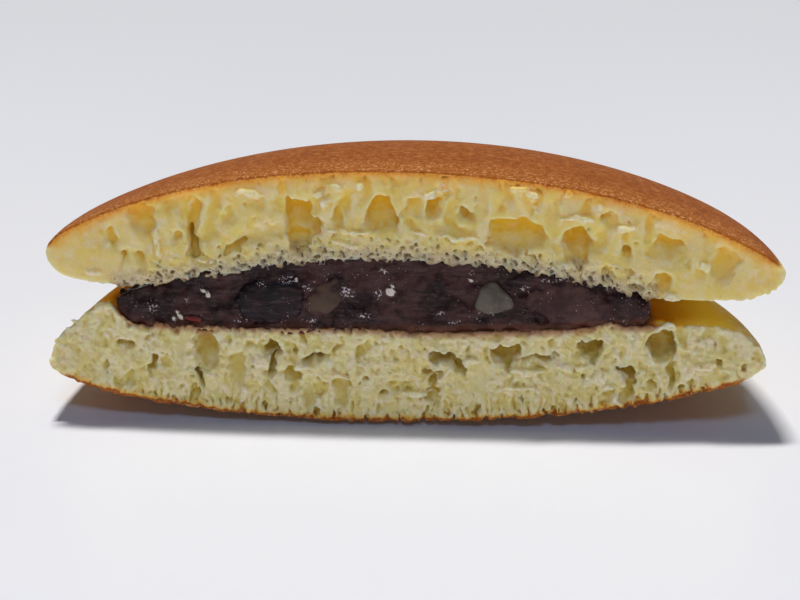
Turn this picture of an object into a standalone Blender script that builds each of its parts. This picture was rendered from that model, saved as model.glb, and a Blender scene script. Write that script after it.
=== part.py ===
"""Half a dorayaki: two griddled pancakes with sweet bean paste between them, cut through the middle.

The half lies as it would on a table, rolled back a little onto its round underside, with the cut face at -Y.
Each layer is worked out in the cut's own frame, in millimetres: x runs along the cut, y into the food and z up
through the layers from the underside. An empty then rolls the layers back and sets them on the ground.
"""

import math
import random

import bmesh
import bpy
from mathutils import Euler, Matrix, Vector

MM = 0.001

# The whole half, as it rests
ROLL_BACK = math.radians(5.2)
REST_FLAT = 0.35  # how much of the round underside is pressed flat
ANGLE_STEPS = 36

# Lower pancake: browned face down
LOWER_CENTRE = -0.6
LOWER_RADIUS = 44.4
LOWER_RIM_HEIGHT = 8.1
LOWER_FLOOR = 11.9  # its inner face, under the middle of the paste
SWELL_RADIUS = 36.5  # where the inner face rises round the paste

# Upper pancake: browned face up
UPPER_CENTRE = 0.9
UPPER_RADIUS = 44.85
UPPER_TOP = 32.7
UPPER_RIM_HEIGHT = 21.1
UPPER_INNER_EDGE = 17.0  # its inner face, outside the paste
ARCH_RISE = 4.3  # how much higher that face is over the middle of the paste
ARCH_CENTRE = -0.5
ARCH_RADIUS = 31.0

# Bean paste
PASTE_CENTRE = -2.9
PASTE_RADIUS = 32.8
PASTE_GAP = 0.5  # between the paste and each pancake
PASTE_SET_BACK = 0.5  # its cut face, behind the pancakes'

# The holes that stand out in each cut face: x, z, half width, half height, depth
UPPER_HOLES = (
    (-31.6, 23.6, 1.5, 3.4, 1.6),
    (-25.8, 24.2, 0.9, 3.0, 2.6),
    (-13.1, 24.6, 1.5, 3.1, 2.8),
    (-2.4, 24.7, 1.9, 2.2, 2.8),
    (3.3, 27.0, 0.8, 1.2, 1.8),
    (7.5, 26.4, 1.0, 0.8, 1.8),
    (13.6, 25.0, 3.2, 2.7, 1.9),
    (20.9, 22.6, 1.7, 2.0, 3.0),
    (32.3, 24.0, 2.4, 2.9, 1.7),
    (39.2, 20.8, 1.9, 1.5, 1.8),
)
LOWER_HOLES = (
    (-34.6, 10.2, 1.0, 0.7, 1.4),
    (-24.5, 9.4, 1.4, 2.3, 1.4),
    (-16.5, 8.4, 1.2, 1.6, 2.4),
    (-11.1, 8.2, 1.6, 0.7, 2.4),
    (-13.8, 5.9, 0.9, 0.9, 1.2),
    (-7.9, 4.6, 0.9, 2.0, 1.1),
    (5.2, 7.9, 1.8, 1.0, 2.8),
    (3.4, 5.0, 0.9, 1.8, 1.4),
    (12.1, 8.4, 1.4, 1.6, 1.9),
    (16.5, 8.8, 2.3, 0.6, 2.2),
    (22.9, 9.4, 1.3, 1.3, 2.2),
    (26.9, 6.9, 1.0, 1.5, 2.0),
    (31.9, 9.2, 1.7, 2.2, 2.6),
)
SMALL_HOLES = 22  # further holes in each cut face
HOLE_SEED = 7

# The beans that stand out of the paste's cut face: x, height above the paste's floor, half length, half height, tilt
BEANS = (
    (-27.0, 2.9, 3.4, 1.5, 12.0),
    (-16.6, 4.0, 4.7, 2.4, 4.0),
    (-8.4, 4.6, 3.0, 2.6, -35.0),
    (0.6, 3.6, 3.8, 2.5, 20.0),
    (10.9, 4.0, 2.3, 1.9, -18.0),
    (19.6, 3.3, 4.9, 2.2, -3.0),
    (27.0, 1.6, 2.0, 1.0, -5.0),
)
BEAN_THICKNESS = 2.2
BEAN_PROUD = 0.9  # how far a bean stands out of the paste


def lerp_round(angle, right, back, left):
    """A size that goes from right, past back, to left as the angle goes round the half."""
    middle = (left + right) / 2
    return middle + (right - left) / 2 * math.cos(angle) + (back - middle) * math.sin(angle)


def eased_to_rim(height, rim_height, share, sharpness):
    """Height that turns into the rim's as share, of the radius, comes to 1."""
    return rim_height + (height - rim_height) * math.sqrt(max(0.0, 1.0 - share**sharpness))


def shares_to_rim(sharpness, plain_steps):
    """Shares of the radius from the middle to the rim, close together where the surface turns down."""
    turn = (0.9, 0.75, 0.55, 0.3, 0.0)
    turning = [(1.0 - s * s) ** (1.0 / sharpness) for s in turn]
    return [turning[0] * i / plain_steps for i in range(plain_steps)] + turning


def lower_outer(x, y):
    r2 = (x - LOWER_CENTRE) ** 2 + y * y
    return 0.0022 * r2 + 5.0e-7 * r2 * r2 + 0.02 * x


def lower_inner(x, y):
    r = math.hypot(x - LOWER_CENTRE, y)
    angle = math.atan2(y, x - LOWER_CENTRE)
    off = r - SWELL_RADIUS
    width = 4.8 if off > 0 else 1.8
    swell = lerp_round(angle, 0.3, 2.3, 4.1) * math.exp(-((off / width) ** 2))
    return LOWER_FLOOR + 0.0008 * r * r + 0.03 * x + swell


def upper_outer(x, y):
    r2 = (x - UPPER_CENTRE) ** 2 + y * y
    return UPPER_TOP - 0.00366 * r2 - 7.0e-7 * r2 * r2 - 0.021 * (x - UPPER_CENTRE) + 0.00047 * x * y


def upper_inner(x, y):
    r = math.hypot(x - ARCH_CENTRE, y)
    arch = 1.0 - (r / ARCH_RADIUS) ** 2.2
    arch = (arch + math.hypot(arch, 0.12)) / 2  # no crease where the arch ends
    return UPPER_INNER_EDGE + ARCH_RISE * arch - 0.01 * x


def lower_rim(x, _y):
    return LOWER_RIM_HEIGHT + 0.016 * x


def upper_rim(x, _y):
    return UPPER_RIM_HEIGHT - 0.008 * x


def paste_bottom(x, y):
    return lower_inner(x, y) + PASTE_GAP


def paste_top(x, y):
    return upper_inner(x, y) - PASTE_GAP


def paste_rim(x, y):
    return 0.65 * paste_bottom(x, y) + 0.35 * paste_top(x, y)


def new_object(name, bm, parent):
    """An object of that mesh, under parent, with its millimetres turned into metres."""
    bmesh.ops.scale(bm, vec=(MM, MM, MM), verts=bm.verts)
    mesh = bpy.data.meshes.new(name)
    bm.to_mesh(mesh)
    bm.free()
    obj = bpy.data.objects.new(name, mesh)
    bpy.context.scene.collection.objects.link(obj)
    obj.parent = parent
    return obj


def half_disc(faces, centre, radius_at, front=0.0):
    """A closed half disc between two height functions that meet at the rim.

    faces holds (height, rim height, sharpness of the turn, steps) for the face below and the face above.
    """
    bm = bmesh.new()
    angles = [math.pi * i / ANGLE_STEPS for i in range(ANGLE_STEPS + 1)]
    rim = None
    sides = []
    for height, rim_height, sharpness, steps in faces:
        rings = []
        for share in shares_to_rim(sharpness, steps):
            if share == 1.0 and rim is not None:
                rings.append(rim)
                continue
            ring = []
            for angle in angles if share > 0.0 else angles[:1]:
                x = centre + share * radius_at(angle) * math.cos(angle)
                y = share * radius_at(angle) * math.sin(angle)
                z = eased_to_rim(height(x, y), rim_height(x, y), share, sharpness)
                ring.append(bm.verts.new((x, max(y, 0.0) + front, z)))
            rings.append(ring)
        rim = rings[-1]
        sides.append(rings)
        for inside, outside in zip(rings, rings[1:]):
            for i in range(ANGLE_STEPS):
                corners = [outside[i], outside[i + 1]]
                corners += [inside[i + 1], inside[i]] if len(inside) > 1 else inside
                bm.faces.new(corners)
    below, above = sides
    outline = [ring[0] for ring in below] + [ring[0] for ring in above[-2:0:-1]]
    outline += [above[0][0]]
    outline += [ring[-1] for ring in above[1:]] + [ring[-1] for ring in below[-2:0:-1]]
    bm.faces.new(outline)
    bmesh.ops.recalc_face_normals(bm, faces=bm.faces)
    return bm


def paint(obj, colour, roughness):
    material = bpy.data.materials.new(obj.name)
    material.use_nodes = True
    shader = material.node_tree.nodes["Principled BSDF"]
    shader.inputs["Base Color"].default_value = (*colour, 1.0)
    shader.inputs["Roughness"].default_value = roughness
    shader.inputs["Metallic"].default_value = 0.0
    obj.data.materials.append(material)
    obj.data.shade_smooth()
    obj.data.set_sharp_from_angle(angle=math.radians(40))


def small_holes(rng, outer, inner, centre, reach, taken):
    """Seeded holes, upright ones near the browned face and rounder ones near the paste, clear of those taken."""
    found = []
    while len(found) < SMALL_HOLES:
        x = centre + rng.uniform(-reach, reach)
        share = rng.uniform(0.16, 0.82)
        z = outer(x, 0.0) + (inner(x, 0.0) - outer(x, 0.0)) * share
        half_width = rng.uniform(0.45, 0.9)
        half_height = half_width * (2.2 - 1.4 * share)
        clear = all(
            math.hypot((x - other[0]) / (half_width + other[2]), (z - other[1]) / (half_height + other[3])) > 1.1
            for other in [*taken, *found]
        )
        if clear:
            found.append((x, z, half_width, half_height, rng.uniform(0.5, 1.2)))
    return found


def cut_holes(pancake, holes, parent):
    """Takes each hole out of the cut face as a ragged half egg."""
    cutters = bpy.data.collections.new(f"{pancake.name}_holes")
    bpy.context.scene.collection.children.link(cutters)
    for number, (x, z, half_width, half_height, depth) in enumerate(holes):
        bm = bmesh.new()
        bmesh.ops.create_icosphere(bm, subdivisions=2, radius=1.0)
        turn = Euler((0.4, number * 1.3, 0.7)).to_matrix()
        for vert in bm.verts:
            ragged = 1.0 + 0.13 * math.sin(2.7 * number + 5.0 * vert.co.x + 3.0 * vert.co.z)
            vert.co = turn @ vert.co * ragged
            vert.co = Vector((x, -0.1, z)) + Vector(
                (half_width * vert.co.x, depth * vert.co.y, half_height * vert.co.z)
            )
        cutter = new_object(f"{pancake.name}_hole_{number}", bm, parent)
        bpy.context.scene.collection.objects.unlink(cutter)
        cutters.objects.link(cutter)
        cutter.hide_render = True
        cutter.display_type = "WIRE"
    cut = pancake.modifiers.new("holes", "BOOLEAN")
    cut.operation = "DIFFERENCE"
    cut.operand_type = "COLLECTION"
    cut.collection = cutters
    cut.solver = "EXACT"


def make_lower(parent):
    faces = ((lower_outer, lower_rim, 30.0, 9), (lower_inner, lower_rim, 9.0, 22))
    bm = half_disc(faces, LOWER_CENTRE, lambda angle: LOWER_RADIUS + 0.35 * math.cos(5 * angle + 1.0))
    obj = new_object("lower_pancake", bm, parent)
    paint(obj, (0.46, 0.36, 0.16), 0.75)
    return obj


def make_upper(parent):
    faces = ((upper_inner, upper_rim, 16.0, 14), (upper_outer, upper_rim, 50.0, 9))
    bm = half_disc(faces, UPPER_CENTRE, lambda angle: UPPER_RADIUS + 0.3 * math.cos(4 * angle + 2.0))
    obj = new_object("upper_pancake", bm, parent)
    paint(obj, (0.36, 0.13, 0.04), 0.6)
    return obj


def make_paste(parent):
    faces = ((paste_bottom, paste_rim, 30.0, 14), (paste_top, paste_rim, 16.0, 10))

    def lumpy(angle):
        return PASTE_RADIUS + 0.7 * math.cos(6 * angle + 0.6) * math.sin(angle) - 0.4 * math.sin(11 * angle)

    bm = half_disc(faces, PASTE_CENTRE, lumpy, front=PASTE_SET_BACK)
    obj = new_object("bean_paste", bm, parent)
    paint(obj, (0.035, 0.018, 0.018), 0.3)
    return obj


def add_beans(paste, parent):
    """Joins the beans that show to the paste, each an egg that stands a little out of the cut face."""
    beans = bpy.data.collections.new("beans")
    bpy.context.scene.collection.children.link(beans)
    for number, (x, height, half_length, half_height, tilt) in enumerate(BEANS):
        bm = bmesh.new()
        bmesh.ops.create_icosphere(bm, subdivisions=2, radius=1.0)
        bmesh.ops.scale(bm, vec=(half_length, BEAN_THICKNESS, half_height), verts=bm.verts)
        bmesh.ops.rotate(bm, matrix=Matrix.Rotation(math.radians(tilt), 3, "Y"), verts=bm.verts)
        back = PASTE_SET_BACK + BEAN_THICKNESS - BEAN_PROUD
        bmesh.ops.translate(bm, vec=(x, back, lower_inner(x, 0.0) + height), verts=bm.verts)
        bean = new_object(f"bean_{number}", bm, parent)
        bpy.context.scene.collection.objects.unlink(bean)
        beans.objects.link(bean)
    join = paste.modifiers.new("beans", "BOOLEAN")
    join.operation = "UNION"
    join.operand_type = "COLLECTION"
    join.collection = beans
    join.solver = "EXACT"
    joined = paste.evaluated_get(bpy.context.evaluated_depsgraph_get())
    paste.data = bpy.data.meshes.new_from_object(joined)
    paste.modifiers.clear()
    for bean in list(beans.objects):
        bpy.data.objects.remove(bean)
    bpy.data.collections.remove(beans)


def press_flat(pancake):
    """Cuts the underside level with the ground."""
    bm = bmesh.new()
    bmesh.ops.create_cube(bm, size=60.0)
    bmesh.ops.translate(bm, vec=(0.0, 0.0, -30.0), verts=bm.verts)
    ground = new_object("ground", bm, None)
    ground.hide_render = True
    ground.display_type = "WIRE"
    cut = pancake.modifiers.new("rest", "BOOLEAN")
    cut.operation = "DIFFERENCE"
    cut.object = ground
    cut.solver = "EXACT"


def set_down(roll, layers):
    """Moves the rolled-back layers so that the pressed spot is at z = 0 and the box round them is centred on the origin."""
    roll.rotation_euler = Euler((-ROLL_BACK, 0.0, 0.0))
    turn = roll.rotation_euler.to_matrix()
    points = [turn @ vert.co for layer in layers for vert in layer.data.vertices]
    lowest = [min(point[axis] for point in points) for axis in range(3)]
    highest = [max(point[axis] for point in points) for axis in range(3)]
    roll.location = (
        -(lowest[0] + highest[0]) / 2,
        -(lowest[1] + highest[1]) / 2,
        -lowest[2] - REST_FLAT * MM,
    )


def main():
    for obj in list(bpy.data.objects):
        bpy.data.objects.remove(obj)
    roll = bpy.data.objects.new("roll_back", None)
    bpy.context.scene.collection.objects.link(roll)
    lower = make_lower(roll)
    upper = make_upper(roll)
    paste = make_paste(roll)
    add_beans(paste, roll)
    rng = random.Random(HOLE_SEED)
    for pancake, outer, inner, centre, holes in (
        (lower, lower_outer, lower_inner, LOWER_CENTRE, LOWER_HOLES),
        (upper, upper_outer, upper_inner, UPPER_CENTRE, UPPER_HOLES),
    ):
        more = small_holes(rng, outer, inner, centre, 38.0, holes)
        cut_holes(pancake, [*holes, *more], roll)
    set_down(roll, (lower, upper, paste))
    press_flat(lower)


main()
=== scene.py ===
"""Looks of the dorayaki half: airy crumb, griddled skins and coarse bean paste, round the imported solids.

Shapes are worked out in the cut's own frame, in millimetres: x along the cut, y into the food from the cut
face, z up through the layers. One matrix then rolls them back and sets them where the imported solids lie.
"""

import math

import bpy
import numpy as np
from mathutils import Matrix, Vector

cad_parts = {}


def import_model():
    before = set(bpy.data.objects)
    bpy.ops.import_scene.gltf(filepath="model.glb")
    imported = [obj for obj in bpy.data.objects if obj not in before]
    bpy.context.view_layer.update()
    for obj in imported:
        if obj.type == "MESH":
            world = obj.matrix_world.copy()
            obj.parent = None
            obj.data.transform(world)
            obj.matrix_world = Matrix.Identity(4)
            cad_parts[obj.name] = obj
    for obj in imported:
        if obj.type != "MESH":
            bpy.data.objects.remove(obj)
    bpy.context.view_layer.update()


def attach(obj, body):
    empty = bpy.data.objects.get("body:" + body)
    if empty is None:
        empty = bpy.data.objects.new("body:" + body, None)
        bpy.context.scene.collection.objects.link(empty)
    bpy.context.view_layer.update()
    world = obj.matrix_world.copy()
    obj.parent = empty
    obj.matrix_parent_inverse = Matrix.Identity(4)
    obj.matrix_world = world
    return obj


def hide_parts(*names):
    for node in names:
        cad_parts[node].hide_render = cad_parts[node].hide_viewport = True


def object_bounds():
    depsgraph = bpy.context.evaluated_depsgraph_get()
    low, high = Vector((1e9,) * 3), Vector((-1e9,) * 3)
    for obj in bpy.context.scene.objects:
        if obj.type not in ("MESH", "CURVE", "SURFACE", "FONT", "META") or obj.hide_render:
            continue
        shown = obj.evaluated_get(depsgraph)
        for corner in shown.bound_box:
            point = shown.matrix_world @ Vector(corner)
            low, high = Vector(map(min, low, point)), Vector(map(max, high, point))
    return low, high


MM = 0.001
ROLL_BACK = math.radians(5.2)
GRID = 0.18  # spacing of the crumb's grid at the cut face
PASTE_GRID = 0.22
FINE_DEPTH = 4.4  # how far behind the cut that spacing goes on
WIDEST_GRID = 0.9  # what it grows to behind that
GRID_BACK = 46.0  # past the back of the food
CLIMB = 0.45  # how far a hole rises for each millimetre that it goes in
SQUARENESS = 2.6  # of the holes: 2 makes an egg, and more makes it squarer
THINNING = 5  # how many grid steps of a smooth face become one, along x and z
THINNING_IN = 3  # and along y, near the cut
EVEN_RADIUS = 38.0  # how far from the middle the browned faces are even

# The layers' forms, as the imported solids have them, in millimetres
LOWER_CENTRE = -0.6
LOWER_RADIUS = 44.4
LOWER_RIM_HEIGHT = 8.1
LOWER_FLOOR = 11.9
SWELL_RADIUS = 36.5
UPPER_CENTRE = 0.9
UPPER_RADIUS = 44.85
UPPER_TOP = 32.7
UPPER_RIM_HEIGHT = 21.1
UPPER_INNER_EDGE = 17.0
ARCH_RISE = 4.3
ARCH_CENTRE = -0.5
ARCH_RADIUS = 31.0
PASTE_CENTRE = -2.9
PASTE_RADIUS = 32.8

# How sharply each face turns to meet its rim
UPPER_OUTER_TURN = 50.0
UPPER_INNER_TURN = 16.0
LOWER_OUTER_TURN = 30.0
LOWER_INNER_TURN = 9.0

# Holes that stand out in the cut face:
# x, z, half width, half height, middle behind the cut, half depth, and for some of them the lean in degrees
# and the widening upwards
UPPER_HOLES = (
    (-32.1, 25.6, 1.6, 2.2, 0.3, 1.5, 4, 0.45),
    (-32.3, 22.0, 0.7, 2.2, -0.1, 0.7),
    (-25.8, 26.5, 0.9, 2.0, 0.3, 1.4, 0, 0.1),
    (-26.0, 22.7, 0.55, 1.8, 1.4, 3.0),
    (-21.6, 26.9, 0.6, 1.0, 0.1, 0.8, -10, -0.3),
    (-17.9, 28.3, 0.7, 0.5, 0.1, 0.6),
    (-20.4, 23.0, 1.2, 0.45, 0.6, 1.6, 32, 0.0),
    (-17.4, 24.5, 2.9, 0.8, 0.0, 0.9, 10, 0.0),
    (-13.2, 26.6, 1.5, 1.9, 0.8, 2.6, 0, 0.1),
    (-12.0, 25.3, 1.9, 1.2, 0.8, 2.4),
    (-12.9, 23.6, 1.1, 1.6, 0.6, 2.0, 0, 0.2),
    (-2.8, 27.2, 1.9, 2.1, 0.6, 2.0, 0, -0.55),
    (3.4, 27.8, 0.9, 1.1, 0.6, 1.7),
    (7.2, 27.3, 1.0, 0.7, 0.6, 1.6, -12, 0.0),
    (5.2, 25.4, 1.4, 0.35, 0.1, 0.8, -6, 0.0),
    (13.1, 24.7, 3.1, 1.9, 0.5, 1.9, -4, 0.05),
    (20.9, 23.4, 1.6, 2.2, 0.8, 2.4, 8, 0.3),
    (26.6, 22.4, 0.6, 0.8, 0.6, 1.6, 12, 0.0),
    (31.9, 23.6, 2.7, 2.7, -0.4, 1.3, -10, 0.0),
    (31.4, 23.2, 1.9, 1.2, 0.7, 1.4, -8, 0.0),
    (38.3, 21.6, 1.6, 2.1, 0.2, 1.3, -14, 0.2),
    (24.7, 26.9, 0.6, 0.8, 0.0, 0.8),
    (30.9, 19.1, 0.7, 1.0, 0.4, 1.4),
    (24.3, 20.3, 0.6, 0.4, 0.2, 0.8),
    (28.0, 18.6, 0.6, 0.4, 0.2, 0.8),
    (4.6, 31.0, 0.6, 1.0, 0.1, 0.9),
    (-4.9, 29.7, 0.6, 0.8, 0.0, 0.7),
    (1.0, 28.0, 0.9, 1.2, 0.1, 1.0, 0, -0.2),
    (11.6, 29.4, 0.55, 2.1, 0.0, 0.8),
    (14.5, 27.9, 0.6, 1.5, 0.0, 0.8, 0, -0.2),
    (9.0, 29.6, 0.5, 1.3, 0.0, 0.6),
    (17.2, 27.6, 0.7, 1.5, 0.0, 0.7),
)
LOWER_HOLES = (
    (-34.9, 9.5, 1.0, 0.55, 0.4, 1.3, -6, 0.3),
    (-37.9, 7.0, 0.3, 0.7, 0.2, 0.8, -12, 0.0),
    (-32.3, 10.5, 0.35, 0.3, 0.1, 0.7),
    (-31.6, 6.9, 0.45, 1.3, 0.5, 1.3, -8, 0.0),
    (-24.9, 9.2, 1.6, 2.6, 0.1, 1.7, -3, 0.1),
    (-25.9, 5.3, 0.35, 1.2, 0.6, 1.6),
    (-26.7, 3.1, 0.6, 1.3, 0.3, 1.2, 0, -0.3),
    (-28.4, 9.6, 1.1, 2.0, -0.2, 0.8),
    (-21.2, 6.7, 1.1, 2.2, 0.0, 1.2),
    (-16.4, 9.2, 1.1, 1.0, 0.9, 2.4, 8, 0.1),
    (-16.9, 6.6, 0.5, 1.6, 0.7, 2.0, -20, 0.0),
    (-17.4, 3.9, 0.8, 0.9, 0.1, 1.0),
    (-14.1, 5.8, 0.9, 1.0, 0.4, 1.3),
    (-11.2, 8.4, 1.7, 0.55, 0.9, 2.2, 14, 0.0),
    (-7.9, 3.9, 1.1, 2.2, 0.1, 1.2, 0, 0.1),
    (-12.2, 3.2, 0.8, 2.0, 0.0, 1.0),
    (-5.2, 5.8, 0.5, 0.3, 0.3, 1.0),
    (-0.3, 5.3, 0.45, 0.45, 0.3, 1.0),
    (-2.7, 4.1, 0.6, 0.5, 0.4, 1.2),
    (4.6, 8.5, 1.7, 0.9, 1.0, 2.6, -8, 0.2),
    (6.3, 7.6, 0.7, 1.1, 0.9, 2.2, 30, 0.0),
    (3.3, 6.4, 1.3, 0.5, 0.5, 1.5),
    (3.2, 5.0, 0.5, 0.9, 0.5, 1.4),
    (3.4, 3.3, 0.85, 0.9, 0.4, 1.4),
    (12.3, 8.9, 1.7, 1.6, 0.7, 2.0, 0, 0.5),
    (8.8, 5.7, 1.6, 3.0, -0.5, 1.2, -14, 0.0),
    (16.6, 8.9, 2.2, 0.4, 1.1, 2.4, 2, 0.0),
    (22.8, 10.0, 1.3, 1.3, 0.8, 2.2, 6, 0.5),
    (27.2, 7.0, 0.9, 1.4, 0.8, 2.0, 10, 0.1),
    (27.2, 4.7, 0.6, 1.3, 0.4, 1.3),
    (31.2, 10.8, 1.7, 2.1, 0.8, 2.6, 6, 0.1),
    (32.6, 7.0, 0.6, 1.8, 0.3, 1.3),
    (38.3, 9.0, 0.5, 0.6, 0.3, 1.2),
    (41.4, 8.3, 0.35, 0.5, 0.3, 1.0),
    (24.6, 4.0, 0.9, 0.8, 0.1, 0.9),
    (30.3, 5.7, 0.6, 0.6, 0.3, 1.1),
    (34.9, 6.3, 0.5, 0.45, 0.3, 1.1),
)
# Bits of crumb that stand proud of the cut face: x, z, half width, half height, how far
UPPER_LEDGES = (
    (-19.0, 29.4, 1.5, 0.35, 0.35),
    (-10.7, 29.4, 0.7, 0.5, 0.35),
    (-9.9, 28.5, 0.5, 0.45, 0.3),
    (-8.2, 30.6, 0.7, 0.4, 0.3),
    (-5.7, 30.5, 0.6, 0.5, 0.3),
    (2.9, 29.7, 0.8, 0.45, 0.35),
    (4.2, 30.2, 0.5, 0.7, 0.3),
    (13.3, 30.6, 1.1, 0.4, 0.35),
    (14.9, 30.1, 0.7, 0.5, 0.35),
    (19.0, 30.0, 0.5, 0.5, 0.3),
    (20.5, 27.0, 2.1, 0.3, 0.35),
    (23.4, 28.3, 0.4, 0.5, 0.3),
    (26.4, 26.2, 1.2, 0.35, 0.45),
    (6.6, 24.4, 2.4, 0.3, 0.4),
    (1.5, 24.9, 1.2, 0.25, 0.3),
    (-30.2, 23.6, 0.5, 1.7, 0.3),
    (-7.3, 23.3, 1.4, 0.4, 0.35),
    (-6.9, 24.9, 2.6, 0.3, 0.3),
    (19.7, 21.3, 1.6, 0.5, 0.4),
    (35.9, 21.3, 0.7, 0.7, 0.3),
    (32.0, 17.4, 0.7, 0.6, 0.4),
    (-38.4, 19.4, 0.9, 0.4, 0.35),
    (-24.4, 21.0, 0.8, 0.3, 0.3),
)
LOWER_LEDGES = (
    (26.2, 3.9, 0.5, 0.8, 0.4),
    (27.0, 3.3, 0.4, 0.5, 0.4),
    (14.1, 5.1, 1.7, 0.3, 0.35),
    (1.7, 4.0, 2.0, 0.4, 0.3),
    (-37.6, 14.4, 1.2, 0.4, 0.3),
    (-18.0, 7.9, 1.2, 0.7, 0.35),
    (-12.7, 7.1, 1.5, 0.5, 0.35),
    (14.9, 7.2, 2.1, 0.6, 0.35),
    (8.0, 8.3, 1.0, 0.5, 0.35),
    (20.4, 8.0, 1.7, 0.5, 0.3),
    (23.9, 6.6, 0.8, 0.9, 0.3),
    (-8.2, 5.9, 1.2, 0.4, 0.3),
    (-20.4, 3.6, 0.5, 1.2, 0.3),
    (-11.0, 2.6, 0.5, 0.9, 0.3),
    (36.4, 8.6, 1.2, 0.5, 0.3),
    (32.0, 13.9, 1.1, 0.5, 0.3),
    (-34.9, 13.8, 1.3, 0.35, 0.3),
    (24.9, 5.4, 0.9, 0.35, 0.35),
    (-30.4, 4.2, 0.5, 0.9, 0.3),
)
# Beans at the cut:
# x, height above the lower pancake, half length, half height, tilt, how far back the knife left them, tone,
# how three-cornered
BEANS = (
    (-29.6, 3.2, 2.6, 1.7, 10, 1.0, 0.65, 0.0),
    (-26.4, 1.6, 1.3, 0.6, 0, 0.3, -1.0, 0.0),
    (-22.6, 3.2, 3.3, 1.2, 6, 0.8, 0.1, 0.0),
    (-16.8, 4.1, 4.5, 2.7, 4, -0.1, -0.25, 0.0),
    (-10.2, 4.3, 3.3, 1.9, 46, 0.3, 1.25, 0.0),
    (-5.0, 4.6, 2.0, 2.6, 20, 0.9, 0.3, 0.0),
    (-1.8, 2.2, 3.4, 1.5, 4, 0.6, 0.5, 0.0),
    (1.3, 5.9, 1.9, 1.3, 0, 1.0, -0.25, 0.0),
    (5.3, 2.4, 2.6, 1.7, 24, 0.5, 0.3, 0.0),
    (10.6, 4.3, 2.3, 2.0, -6, -0.1, 2.0, 0.13),
    (14.4, 1.9, 2.2, 1.2, -20, 0.8, 0.3, 0.0),
    (19.8, 3.3, 4.9, 2.6, -3, 0.0, 0.9, 0.0),
    (26.8, 2.3, 2.4, 1.5, -4, 0.4, 0.7, 0.0),
)
# Crumbs and bits of skin on the paste, and at -13.4 a painted highlight on the big dark bean: x, z, half size
SPECKS = (
    (-1.9, 17.3, 0.5),
    (-1.5, 18.2, 0.3),
    (-27.9, 13.5, 0.45),
    (-28.8, 13.1, 0.25),
    (-28.2, 14.2, 0.2),
    (-25.0, 17.0, 0.35),
    (-24.4, 16.5, 0.22),
    (-13.4, 18.6, 0.2),
    (-2.9, 20.2, 0.3),
    (7.9, 18.9, 0.2),
    (15.1, 17.5, 0.3),
)
# Places where glints are painted on the paste as pale specks: x, z, half width, half height
GLINTS = (
    (-31.4, 15.0, 1.1, 1.1),
    (-26.9, 15.6, 0.5, 0.5),
    (-17.4, 18.3, 0.9, 0.6),
    (-14.6, 18.6, 1.2, 0.6),
    (-12.2, 17.6, 0.8, 0.7),
    (-7.1, 17.0, 1.1, 1.1),
    (-3.3, 16.9, 0.6, 1.0),
    (-2.7, 19.8, 0.6, 0.6),
    (-5.2, 14.2, 1.4, 0.5),
    (-11.6, 13.4, 1.2, 0.4),
    (-20.3, 13.2, 1.4, 0.4),
    (3.8, 14.6, 1.3, 0.5),
    (5.9, 13.6, 1.4, 0.5),
    (8.0, 19.9, 0.5, 0.4),
    (14.6, 18.1, 0.9, 0.5),
    (17.6, 19.2, 2.8, 0.35),
    (22.2, 18.6, 1.5, 0.3),
    (26.8, 14.0, 0.5, 0.7),
)

# Colours and measures of the two pancakes' materials, as pancake_material tells
UPPER_LOOK = {
    "ridge": (0.95, 0.84, 0.58),
    "flat": (0.92, 0.77, 0.36),
    "patch": (0.94, 0.78, 0.56),
    "yellow_and_recess_shade": (0.92, 0.71, 0.14),
    "gold_and_deep_shade": (0.90, 0.58, 0.05),
    "brown": (0.310, 0.077, 0.010),
    "dark_brown": (0.243, 0.055, 0.006),
    "light_speck": (0.46, 0.17, 0.045),
    "light_grain": (0.74, 0.38, 0.16),
    "skin_thick": 0.15,
    "ragged": 1.0,
    "glow": 1.5,
    "starts": 0.8,
    "dry": 2.9,
    "soaked": 0.9,
    "stain": (0.22, 0.13, 0.08),
    "light_spreads": 2.0,
    "deep_shade_on_floors": 0.15,
}
LOWER_LOOK = {
    "ridge": (0.92, 0.86, 0.65),
    "flat": (0.84, 0.77, 0.46),
    "patch": (0.91, 0.82, 0.66),
    "yellow_and_recess_shade": (0.73, 0.60, 0.14),
    "gold_and_deep_shade": (0.50, 0.32, 0.015),
    "brown": (0.48, 0.15, 0.025),
    "dark_brown": (0.38, 0.10, 0.015),
    "light_speck": (0.58, 0.24, 0.07),
    "light_grain": (0.80, 0.46, 0.25),
    "skin_thick": 0.4,
    "ragged": 2.4,
    "glow": 0.6,
    "starts": 2.0,
    "dry": 0.9,
    "soaked": 1.3,
    "stain": (0.42, 0.18, 0.08),
    "light_spreads": 1.5,
    "deep_shade_on_floors": 0.5,
}


def soft_step(value, low, high):
    """Runs smoothly from 0 where value is low to 1 where it is high."""
    share = np.clip((value - low) / (high - low), 0.0, 1.0)
    return share * share * (3 - 2 * share)


def round_the_rim(angle, right, back, left):
    """Runs from right, at angle 0, through back to left, half a turn on."""
    middle = (left + right) / 2
    return middle + (right - left) / 2 * np.cos(angle) + (back - middle) * np.sin(angle)


def lower_outer(x, y):
    r2 = (x - LOWER_CENTRE) ** 2 + y * y
    return 0.0022 * r2 + 5.0e-7 * r2 * r2 + 0.02 * x


def lower_inner(x, y):
    r = np.hypot(x - LOWER_CENTRE, y)
    angle = np.arctan2(y, x - LOWER_CENTRE)
    off = r - SWELL_RADIUS
    width = np.where(off > 0, 4.8, 1.8)
    swell = round_the_rim(angle, 0.3, 2.3, 4.1) * np.exp(-((off / width) ** 2))
    return LOWER_FLOOR + 0.0008 * r * r + 0.03 * x + swell


def upper_outer(x, y):
    r2 = (x - UPPER_CENTRE) ** 2 + y * y
    return UPPER_TOP - 0.00366 * r2 - 7.0e-7 * r2 * r2 - 0.021 * (x - UPPER_CENTRE) + 0.00047 * x * y


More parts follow.
